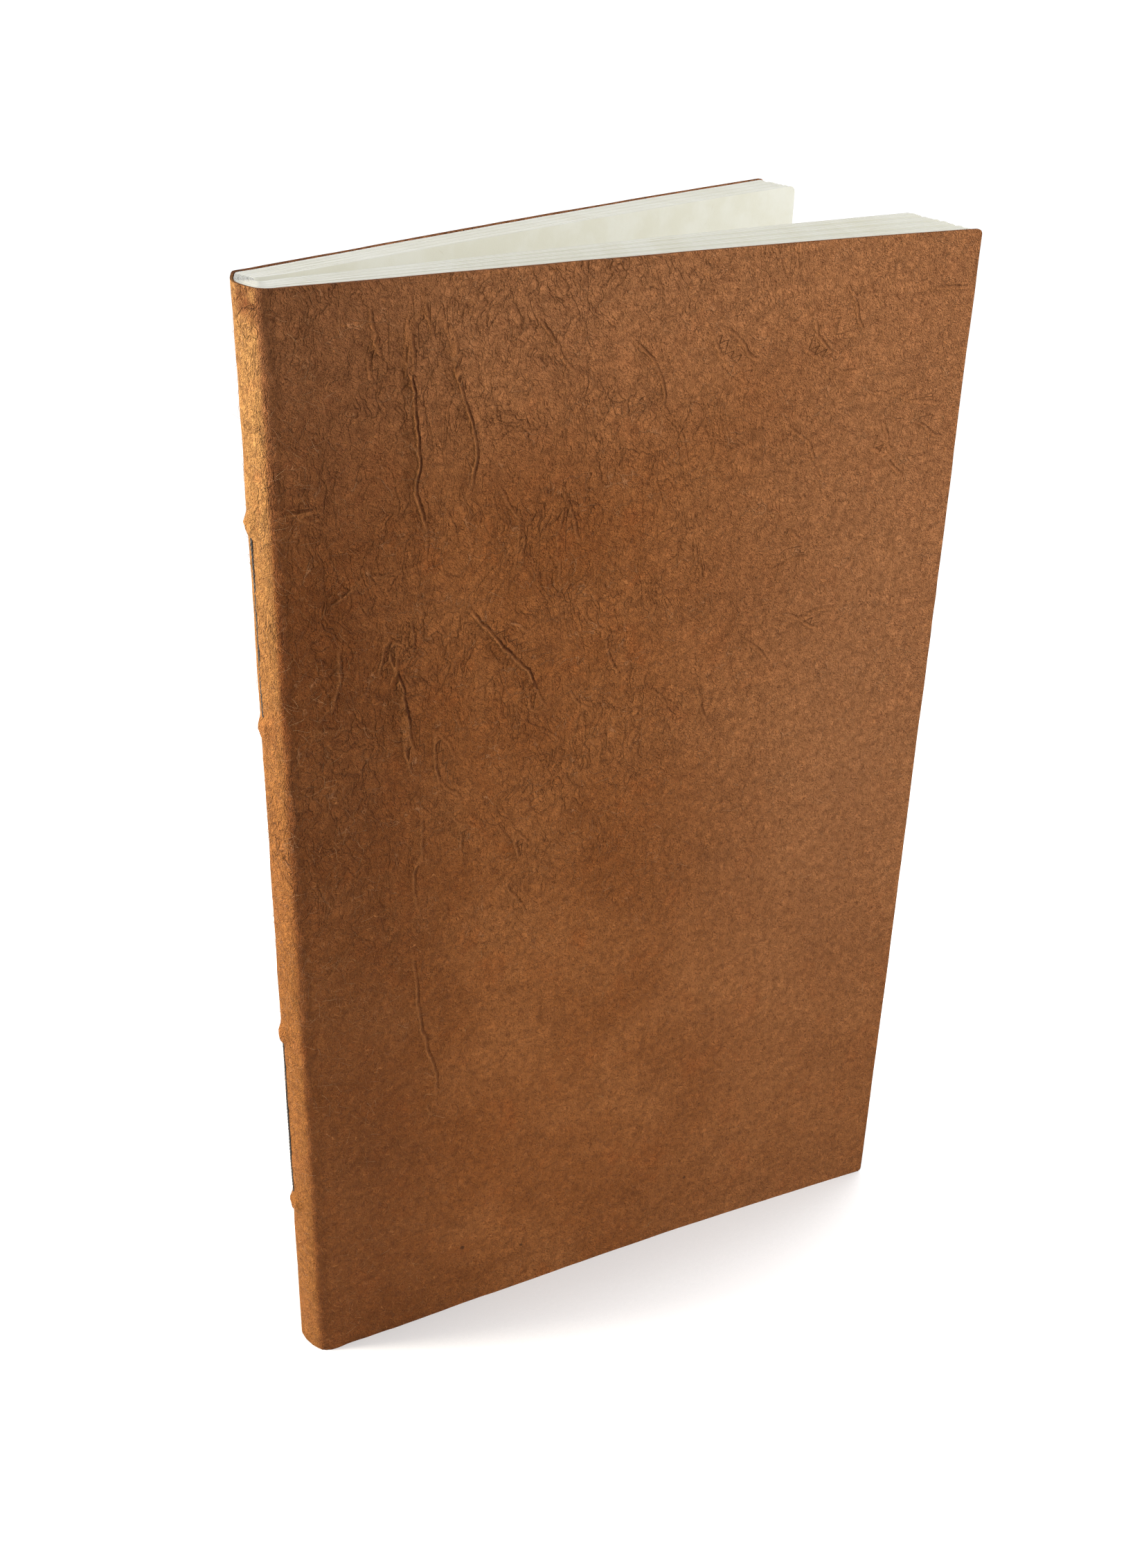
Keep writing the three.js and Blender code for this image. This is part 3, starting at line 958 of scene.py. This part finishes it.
@dataclass(frozen=True)
class PageFinish:
    """Unbleached writing paper: cream, with pale cut edges, painted shadow on some of them, and a few fibres
    and flecks.
    """

    fibres: FibreGroup
    cream: Colour = (0.600, 0.588, 0.498, 1.0)
    cloud: Colour = (0.632, 0.626, 0.555, 1.0)
    cut: Colour = (0.680, 0.690, 0.685, 1.0)
    gap: Colour = (0.400, 0.405, 0.380, 1.0)
    fleck: Colour = (0.330, 0.270, 0.150, 1.0)
    roughness: float = 0.85

    def material(self) -> Material:
        """Builds the material."""
        t = Tree.of_material("page_paper")
        place = t.millimetres()
        _, web = self.fibres.laid(t, place, 1.4, 0.1, 0.6)
        strands, _ = self.fibres.laid(t, place, 2.6, 0.2, 0.1, (31.0, 57.0, 0.0))
        cloud = t.noise(place, 0.22, 4.0, 0.6)
        dots = t.times(t.specks(place, 0.16, 0.04, 0.07), t.ramp(t.noise(place, 0.3, 1.0), 0.48, 0.56))
        rim = t.own("rim")
        colour = t.layers(
            self.cream,
            (t.ramp(cloud, 0.35, 0.65), 1.0, self.cloud),
            (strands, 0.45, self.fleck),
            (dots, 0.6, self.fleck),
            (rim, 0.85, self.cut),
            # edges greyed a little at random, and painted shadow on every fourth sheet's edges for the gaps
            # between groups of sheets
            (rim, t.own("tone"), self.gap))
        height = t.plus(web, t.times(cloud, 0.5))
        rough = t.ramp(cloud, 0.3, 0.7, self.roughness - 0.05, self.roughness + 0.08)
        return t.shine({"Base Color": colour, "Roughness": rough, "Normal": t.bump(0.5, 0.06 * MM, height),
                        "Specular IOR Level": 0.2})


@dataclass(frozen=True)
class ThreadFinish:
    """Waxed dark linen."""

    fibres: FibreGroup
    dark: Colour = (0.012, 0.010, 0.009, 1.0)
    worn: Colour = (0.060, 0.050, 0.042, 1.0)

    def material(self) -> Material:
        """Builds the material."""
        t = Tree.of_material("linen_thread")
        place = t.place_in_space()
        _, strands = self.fibres.laid(t, place, 0.8, 0.05, 0.6)
        wax = t.noise(place, 1.8, 3.0)
        colour = t.layers(self.dark, (t.ramp(wax, 0.45, 0.7), strands, self.worn))
        return t.shine({"Base Color": colour, "Roughness": t.ramp(wax, 0.3, 0.7, 0.38, 0.62),
                        "Normal": t.bump(0.6, 0.03 * MM, strands)})


@dataclass(frozen=True)
class FuzzFinish:
    """Loose fibres of the cover paper, lighter than the sheet that they lift from."""

    brown: Colour = (0.200, 0.080, 0.028, 1.0)
    blond: Colour = (0.450, 0.250, 0.110, 1.0)

    def material(self) -> Material:
        """Builds the material."""
        t = Tree.of_material("loose_fibre")
        place = t.place_in_space()
        colour = t.layers(self.brown, (t.ramp(t.noise(place, 0.5, 2.0), 0.4, 0.65), 1.0, self.blond))
        rough = t.ramp(t.noise(place, 3.0, 1.0), 0.3, 0.7, 0.5, 0.75)
        return t.shine({"Base Color": colour, "Roughness": rough})


# ---------------------------------------------------------------- the book's pieces


@dataclass
class Cover:
    """The limp cover: one sheet wrapped from the back fore-edge round the spine to the front."""

    fold: Fold
    trees: SheetTrees
    paper: Material
    height: float
    thickness: float
    holes: tuple[float, ...]
    wave: float = 0.7 * MM
    bow: float = 0.8 * MM
    corner: float = 0.6 * MM
    rows: int = 234
    chance_creases: int = 36
    cut_before_back_hinge: float = 4.2 * MM
    seed: int = 11
    creases: tuple = (
        (1.0, ((12.9, 139.0), (13.0, 132.4), (13.6, 130.0), (13.7, 117.0), (14.8, 109.5))),
        (0.8, ((15.9, 137.5), (17.4, 133.5), (18.6, 126.5), (19.6, 123.0), (19.1, 118.0), (17.9, 114.0))),
        (0.7, ((8.7, 138.0), (9.4, 134.4), (10.3, 131.5))),
        (0.5, ((14.2, 139.3), (14.4, 136.5), (15.2, 134.0))),
        (0.7, ((27.2, 134.5), (30.6, 131.0))),
        (0.5, ((2.4, 106.0), (4.5, 107.4), (7.4, 109.8))),
        (0.5, ((29.8, 116.8), (31.0, 112.4), (32.2, 108.2))),
        (0.3, ((58.8, 119.7), (62.0, 116.9), (64.4, 113.4))),
        (0.3, ((60.6, 128.4), (65.4, 125.0))),
        (0.3, ((69.0, 122.3), (75.0, 121.5), (81.6, 119.8))),
        (0.9, ((9.0, 104.0), (9.8, 99.3), (11.1, 95.9), (12.2, 91.5), (13.0, 86.6))),
        (0.6, ((12.1, 103.4), (11.6, 99.0))),
        (0.8, ((18.6, 105.2), (20.3, 100.9), (23.4, 96.6), (25.3, 94.3), (26.5, 91.6), (28.2, 88.8))),
        (0.7, ((10.8, 95.6), (10.6, 89.5), (11.4, 83.6))),
        (0.6, ((14.6, 89.6), (15.3, 84.4), (15.9, 81.4))),
        (0.5, ((12.8, 79.4), (12.0, 74.3), (10.8, 70.8), (11.5, 66.4))),
        (0.4, ((15.9, 79.0), (17.5, 75.6), (17.6, 71.6))),
        (0.5, ((4.4, 102.8), (3.5, 97.4), (2.4, 94.0))),
        (0.5, ((11.1, 61.5), (12.1, 48.5), (13.4, 41.1), (12.8, 33.6))),
        (0.3, ((0.5, 59.3), (2.4, 62.1))),
        (0.5, ((-1.5, 92.2), (1.0, 92.9), (3.6, 92.2))),
        (0.5, ((-3.0, 116.4), (0.4, 117.3), (2.6, 117.2))),
        (0.5, ((38.0, 131.5), (41.5, 127.0), (43.0, 121.0))),
        (0.4, ((47.0, 133.0), (49.4, 128.0), (54.0, 125.0))),
        (0.4, ((22.0, 118.0), (24.5, 113.0), (24.0, 107.5))),
        (0.4, ((33.0, 101.0), (36.5, 97.0), (38.0, 91.0))),
    )

    def _line(self) -> tuple[np.ndarray, dict[str, np.ndarray]]:
        """The cover's plan line, finest where it is creased."""
        front = HalfLine(self.fold, Half.FRONT, ((4.0 * MM, 0.36 * MM), (46.0 * MM, 0.46 * MM),
                                                 (90.0 * MM, 0.85 * MM)), self.bow, self.corner)
        back = HalfLine(self.fold, Half.BACK, ((4.0 * MM, 0.36 * MM), (90.0 * MM, 1.2 * MM)),
                        self.bow, self.corner)
        return whole_line(back, front)

    def _creases(self) -> Object:
        """The pressed creases, laid out on the flat cover as dense points with their headings."""
        rng = np.random.default_rng(self.seed)
        runs = [(strength, np.array(corners) * MM) for strength, corners in self.creases]
        for strength, knots in list(runs):
            at = int(rng.integers(0, len(knots) - 1))
            runs.append(self._spur(rng, knots[at] * 0.5 + knots[at + 1] * 0.5, knots[at + 1] - knots[at],
                                   0.6, 0.55 * strength))
        for _ in range(self.chance_creases):
            near = rng.random() < 0.65
            start = np.array([rng.uniform(6, 44) if near else rng.uniform(44, 80),
                              rng.uniform(62, 138) if near else rng.uniform(88, 137)]) * MM
            heading = np.array([0.25, -1.0]) if near else np.array([1.0, -0.6])
            runs.append(self._spur(rng, start, heading, 0.9, rng.uniform(0.18, 0.5) if near else 0.38))
        spots, headings, strengths = [], [], []
        for strength, knots in runs:
            lengths = np.append(0, np.cumsum(np.linalg.norm(np.diff(knots, axis=0), axis=1)))
            run = np.linspace(0, lengths[-1], int(lengths[-1] / (0.25 * MM)) + 4)
            line = np.stack([np.interp(run, lengths, knots[:, k]) for k in (0, 1)], 1)
            line += np.cumsum(rng.normal(0, 0.075 * MM, line.shape), 0)
            smooth = np.array([np.convolve(np.pad(line[:, k], 3, "edge"), np.ones(7) / 7, "valid")
                               for k in (0, 1)]).T
            heading = np.gradient(smooth, axis=0)
            heading /= np.linalg.norm(heading, axis=1)[:, None] + 1e-12
            share = run / lengths[-1]
            fade = np.clip(np.minimum(share, 1 - share) * 4, 0, 1)
            spots.append(smooth)
            headings.append(heading)
            strengths.append(1.6 * strength * fade * (0.8 + 0.2 * np.sin(run / MM * 1.3 + strength * 20)))
        return guide("crease_lines", level(np.vstack(spots)), heading=level(np.vstack(headings)),
                     strength=np.concatenate(strengths))

    def _spur(self, rng: np.random.Generator, start: np.ndarray, heading: np.ndarray, spread: float,
              strength: float) -> tuple[float, np.ndarray]:
        """A short crease from a point, its heading turned by chance within the spread."""
        turn = rng.uniform(-spread, spread)
        way = heading / np.linalg.norm(heading)
        way = np.array([way[0] * math.cos(turn) - way[1] * math.sin(turn),
                        way[0] * math.sin(turn) + way[1] * math.cos(turn)])
        knots = start + np.outer(np.linspace(0, rng.uniform(3.0, 9.0) * MM, 4), way)
        return strength, knots + rng.normal(0, 0.35 * MM, knots.shape)

    def build(self) -> dict[Half, Object]:
        """Makes the cover as one surface and cuts it behind the spine.

        Returns:
            The piece that opens with each half. The front one holds the spine.
        """
        points, values = self._line()
        path = guide("cover_line", points, **values)
        creases = self._creases()
        apex = -self.fold.apex_to_hinge()
        holes = guide("hole_spots", np.array([[apex, z, 0.0] for z in self.holes]))
        whole = grown("cover_whole", self.trees.cover, {
            "Plan line": path, "Height": self.height, "Rows": self.rows, "Thickness": self.thickness,
            "Wave": self.wave, "Sway": tuple(np.append(self.fold.across, 0.0)), "Creases": creases,
            "Holes": holes, "Material": self.paper, **self.fold.press_inputs()})
        for helper in (path, creases, holes):
            drop(helper)
        cut = 2 * apex + self.cut_before_back_hinge
        made = split_by(whole, "along", cut,
                        {Half.FRONT: "cover_front_and_spine", Half.BACK: "cover_back"})
        for half, piece in made.items():
            start, end = self.fold.hinges[half].ends()
            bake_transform(piece, "spine", f"{half.word}_cover", start=tuple(start), end=tuple(end))
            log.info("%s: %d faces", piece.name, len(piece.data.polygons))
        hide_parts("front_cover", "cover_spine")
        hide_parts("back_cover")
        return made


def split_by(whole: Object, name: str, cut: float,
             names: dict[Half, str]) -> dict[Half, Object]:
    """Cuts a closed sheet in two where a point attribute passes a value, and closes both cuts.

    Args:
        whole: the closed sheet, which is removed.
        name: the attribute.
        cut: its value at the cut.
        names: the piece names, the front one above the cut and the back one below it.

    Returns:
        The two pieces.
    """
    mesh = whole.data
    made = {}
    for half, title in names.items():
        copy = mesh.copy()
        copy.name = title
        shape = bmesh.new()
        shape.from_mesh(copy)
        layer = shape.verts.layers.float[name]
        gone = [f for f in shape.faces
                if (sum(v[layer] for v in f.verts) / len(f.verts) > cut) != (half is Half.FRONT)]
        bmesh.ops.delete(shape, geom=gone, context="FACES")
        rim = [e for e in shape.edges if e.is_boundary]
        bmesh.ops.holes_fill(shape, edges=rim, sides=0)
        shape.to_mesh(copy)
        shape.free()
        copy.set_sharp_from_angle(angle=SHARP_EDGE)
        piece = bpy.data.objects.new(title, copy)
        bpy.context.scene.collection.objects.link(piece)
        made[half] = piece
    bpy.data.objects.remove(whole)
    return made


@dataclass
class Leaves:
    """The folded sheets: each has a front half that carries the fold and a back half."""

    folds: dict[int, Fold]
    trees: SheetTrees
    paper: Material
    height: float
    wave: float = 0.7 * MM
    bow: float = 0.8 * MM
    corner: float = 0.9 * MM
    thickness: float = 0.125 * MM
    rows: int = 26
    seed: int = 5

    def build(self) -> list[Object]:
        """Makes every half sheet."""
        rng = np.random.default_rng(self.seed)
        made = []
        steps = ((-0.2 * MM, 0.5 * MM), (4.0 * MM, 0.5 * MM), (12.0 * MM, 1.6 * MM), (90.0 * MM, 3.4 * MM))
        for number, fold in self.folds.items():
            for half in Half:
                trim = float(rng.uniform(0.0, 0.5)) * MM
                points, values = HalfLine(fold, half, steps, self.bow, self.corner, trim).points()
                path = guide("leaf_line", points, **values)
                title = f"sheet_{number:02d}_{half.word}"
                piece = grown(title, self.trees.leaf, {
                    "Plan line": path, "Height": self.height, "Rows": self.rows,
                    "Thickness": self.thickness, "Wave": self.wave,
                    "Sway": tuple(np.append(fold.across, 0.0)), "Seed": float(rng.uniform(0, 50)),
                    # a little random grey on every edge, and painted shadow on every fourth sheet's edges for
                    # the gaps between groups of sheets
                    "Edge tone": float(0.15 * rng.random() + (0.38 if number % 4 == 1 else 0.0)),
                    "Material": self.paper, **fold.press_inputs()})
                drop(path)
                piece.data.set_sharp_from_angle(angle=SHARP_EDGE)
                start, end = fold.hinges[half].ends()
                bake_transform(piece, "spine", title, start=tuple(start), end=tuple(end))
                if half is Half.FRONT:
                    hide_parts(f"sheet_{number:02d}_fold", f"sheet_{number:02d}_front_leaf")
                else:
                    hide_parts(f"sheet_{number:02d}_back_leaf")
                made.append(piece)
        log.info("leaves: %d pieces", len(made))
        return made


@dataclass
class Thread:
    """The sewing thread: out and in through the fold, with its knot and two ends inside."""

    fold: Fold
    trees: SheetTrees
    linen: Material
    holes: tuple[float, ...]
    outside: float = 4.62 * MM
    inside: float = 0.425 * MM
    lower_aside: float = 0.35 * MM
    knot: float = 70.85 * MM
    loops: float = 3.0
    loop_radius: float = 0.3 * MM
    tail: float = 12.0 * MM
    bend: float = 0.3 * MM

    def _route(self) -> np.ndarray:
        """The thread's way as points: distance in the closing direction, across, and height."""
        top, upper, lower, low = self.holes
        out, inner, knot = -self.outside, -self.inside, self.knot
        tip, aside = 2.125 * MM, self.lower_aside
        corners = [(tip, 0.1 * MM, knot + self.tail), (0.2 * MM, 0.1 * MM, knot + 1.2 * MM)]
        steps = int(self.loops * 12)
        for k in range(steps + 1):
            turn = math.tau * k / 12
            corners.append((0.125 * MM + self.loop_radius * math.cos(turn), self.loop_radius * math.sin(turn),
                            knot + 0.7 * MM - 1.4 * MM * k / steps))
        corners += [(0.12 * MM, 0, knot - 1.2 * MM), (inner, 0, knot - 3 * MM), (inner, 0, lower),
                    (out, aside, lower), (out, aside, low), (inner, 0, low), (inner, 0, lower),
                    (0.12 * MM, 0, lower + 1.5 * MM), (0.12 * MM, 0, upper - 1.5 * MM), (inner, 0, upper),
                    (inner, 0, top), (out, 0, top), (out, 0, upper), (inner, 0, upper),
                    (inner + 0.05 * MM, 0.3 * MM, upper - 2 * MM), (0.1 * MM, 0.3 * MM, knot + 1.5 * MM),
                    (0.2 * MM, -0.1 * MM, knot - 1.2 * MM), (tip, -0.1 * MM, knot - self.tail)]
        return np.array(corners, float)

    def build(self) -> Object:
        """Makes the twisted thread."""
        path = rounded(self._route(), self.bend)
        fold = self.fold
        world = (np.append(fold.centre, 0.0) + np.outer(path[:, 0], np.append(fold.closing, 0.0))
                 + np.outer(path[:, 1], np.append(fold.across, 0.0)) + np.outer(path[:, 2], UP))
        route = guide("thread_route", world)
        piece = grown("sewing_thread_twist", ThreadTree(self.trees.press).tree,
                      {"Route": route, "Material": self.linen, **fold.press_inputs()})
        drop(route)
        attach(piece, "spine")
        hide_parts("sewing_thread")
        log.info("thread: %d faces", len(piece.data.polygons))
        return piece


def rounded(corners: np.ndarray, radius: float, steps: int = 4) -> np.ndarray:
    """A line through corners with each corner cut to a short curve."""
    points = [corners[0]]
    for before, here, after in zip(corners, corners[1:], corners[2:]):
        first = here + (before - here) * min(0.45, radius / max(np.linalg.norm(before - here), 1e-9))
        last = here + (after - here) * min(0.45, radius / max(np.linalg.norm(after - here), 1e-9))
        for t in np.linspace(0, 1, steps + 1):
            points.append((1 - t) ** 2 * first + 2 * t * (1 - t) * here + t * t * last)
    points.append(corners[-1])
    return np.array(points)


@dataclass
class Fuzz:
    """Loose fibres standing off the cover's outer face."""

    cover: dict[Half, Object]
    fold: Fold
    fibre: Material
    tree: NodeTree
    density: float = 600000.0

    def build(self) -> list[Object]:
        """Makes the loose fibres of both halves."""
        made = []
        for seed, (half, paper) in enumerate(self.cover.items(), 3):
            piece = grown(f"loose_fibres_{half.word}", self.tree, {
                "Paper": paper, "Seed": seed, "Material": self.fibre,
                "Fibres per square metre": self.density, "Apex to hinge": self.fold.apex_to_hinge()})
            start, end = self.fold.hinges[half].ends()
            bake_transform(piece, "spine", f"{half.word}_cover", start=tuple(start), end=tuple(end))
            log.info("%s: %d faces", piece.name, len(piece.data.polygons))
            made.append(piece)
        return made


# ---------------------------------------------------------------- studio


@dataclass(frozen=True)
class Studio:
    """Pale floor, soft light and the camera."""

    eye: tuple = (-88.85 * MM, -183.04 * MM, 178.78 * MM)
    azimuth: float = -26.68
    elevation: float = 28.56
    roll: float = 1.355
    lens: float = 40.05

    @staticmethod
    def _way(azimuth: float, elevation: float) -> Vector:
        """The direction of an azimuth and elevation in degrees; azimuth 0 is the front."""
        a, e = math.radians(azimuth), math.radians(elevation)
        return Vector((math.sin(a) * math.cos(e), -math.cos(a) * math.cos(e), math.sin(e)))

    def camera(self) -> None:
        """Places the camera."""
        roll = math.radians(self.roll)
        back = self._way(self.azimuth, self.elevation)
        right = (-back).cross(Vector((0, 0, 1))).normalized()
        up = right.cross(-back)
        side = math.cos(roll) * right + math.sin(roll) * up
        top = -math.sin(roll) * right + math.cos(roll) * up
        data = bpy.data.cameras.new("camera")
        data.lens, data.sensor_width, data.clip_start = self.lens, 36.0, 0.01
        made = bpy.data.objects.new("camera", data)
        made.matrix_world = Matrix((
            (side.x, top.x, back.x, self.eye[0]), (side.y, top.y, back.y, self.eye[1]),
            (side.z, top.z, back.z, self.eye[2]), (0, 0, 0, 1)))
        bpy.context.scene.collection.objects.link(made)
        bpy.context.scene.camera = made

    def floor(self) -> None:
        """A wide pale floor that glows to the camera, with a painted soft shadow round the book."""
        mesh = bpy.data.meshes.new("floor")
        reach = 12.0
        mesh.from_pydata([(-reach, -reach, 0), (reach, -reach, 0), (reach, reach, 0), (-reach, reach, 0)],
                         [], [(0, 1, 2, 3)])
        made = bpy.data.objects.new("floor", mesh)
        bpy.context.scene.collection.objects.link(made)
        t = Tree.of_material("floor_paint")
        # the floor glows only to camera rays, and the glow fades where ambient occlusion finds the book near:
        # a painted soft contact shadow
        seen = t.node("ShaderNodeLightPath").outputs["Is Camera Ray"]
        open_sky = t.node("ShaderNodeAmbientOcclusion", {"Distance": 0.05}).outputs["AO"]
        glow_with_painted_shadow = t.times(t.times(seen, t.ramp(open_sky, 0.45, 0.95)), 0.62)
        mesh.materials.append(t.shine({
            "Base Color": (0.76, 0.76, 0.76, 1.0), "Roughness": 0.95, "Specular IOR Level": 0.0,
            "Emission Color": (1.0, 1.0, 1.0, 1.0), "Emission Strength": glow_with_painted_shadow}))

    def light(self) -> None:
        """An even white room, a broad lamp above and behind, and a warm low one on the spine."""
        world = bpy.data.worlds.new("room")
        world.use_nodes = True
        sky = world.node_tree.nodes["Background"].inputs
        sky[0].default_value, sky[1].default_value = (1.0, 1.0, 1.0, 1.0), 0.55
        bpy.context.scene.world = world
        self._sun("high_lamp", azimuth=-10.0, elevation=60.0, spread=40.0, power=0.5,
                  colour=(1.0, 0.99, 0.97))
        self._disk("spine_lamp", (-0.212, 0.066, 0.165), (-0.043, -0.013, 0.085), size=0.09, power=0.98,
                   colour=(1.0, 0.93, 0.80))
        self._disk("near_lamp", (0.200, -0.190, 0.280), (0.03, -0.015, 0.11), size=0.10, power=0.80,
                   colour=(1.0, 1.0, 1.0))
        view = bpy.context.scene.view_settings
        view.view_transform, view.look, view.exposure, view.gamma = "Standard", "None", 0.0, 1.0

    def _disk(self, name: str, place: tuple, aim: tuple, size: float, power: float, colour: tuple) -> None:
        """A round lamp that stands at a place and is turned to a point."""
        data = bpy.data.lights.new(name, "AREA")
        data.shape, data.size, data.energy, data.color = "DISK", size, power, colour
        made = bpy.data.objects.new(name, data)
        made.location = place
        made.rotation_mode = "QUATERNION"
        made.rotation_quaternion = (Vector(aim) - Vector(place)).to_track_quat("-Z", "Y")
        made.visible_camera = False
        bpy.context.scene.collection.objects.link(made)

    def _sun(self, name: str, azimuth: float, elevation: float, spread: float, power: float,
             colour: tuple) -> None:
        """A far lamp; azimuth is where it stands, as the camera's is."""
        back = self._way(azimuth, elevation)
        data = bpy.data.lights.new(name, "SUN")
        data.energy, data.angle, data.color = power, math.radians(spread), colour
        made = bpy.data.objects.new(name, data)
        made.rotation_mode = "QUATERNION"
        made.rotation_quaternion = (-back).to_track_quat("-Z", "Y")
        bpy.context.scene.collection.objects.link(made)


def main() -> None:
    """Builds the notebook round its frame."""
    logging.basicConfig(level=logging.INFO, format="%(name)s %(message)s")
    studio = Studio()
    studio.camera()
    studio.floor()
    studio.light()
    low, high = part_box("front_cover")
    height, thickness = high.z - low.z, high.y - low.y
    joints = {half: f"{half.word}_cover_hinge" for half in Half}
    rough = Fold.read(np.zeros(2), joints, {half: f"{half.word}_cover" for half in Half})
    spine = np.array([v.co[:2] for v in frame["nodes"]["cover_spine"].data.vertices])
    middle = sum(h.point for h in rough.hinges.values()) / 2
    apex = float(((spine - middle) @ rough.closing).min()) + thickness / 2
    centre = middle + rough.closing * (apex + rough.radius)
    wrap = Fold.read(centre, joints, {half: f"{half.word}_cover" for half in Half})
    folds = {}
    for number in range(1, SHEETS + 1):
        folds[number] = Fold.read(centre, {half: f"sheet_{number:02d}_{half.word}_bend" for half in Half},
                                  {half: f"sheet_{number:02d}_{half.word}_leaf" for half in Half})
    fibres = FibreGroup()
    trees = SheetTrees()
    cover = Cover(wrap, trees, CoverFinish(fibres, wrap.apex_to_hinge()).material(), height, thickness,
                  SEWING_HOLES).build()
    Leaves(folds, trees, PageFinish(fibres).material(), height).build()
    Thread(wrap, trees, ThreadFinish(fibres).material(), SEWING_HOLES).build()
    Fuzz(cover, wrap, FuzzFinish().material(), FuzzTree().tree).build()


if __name__ == "__main__":
    main()
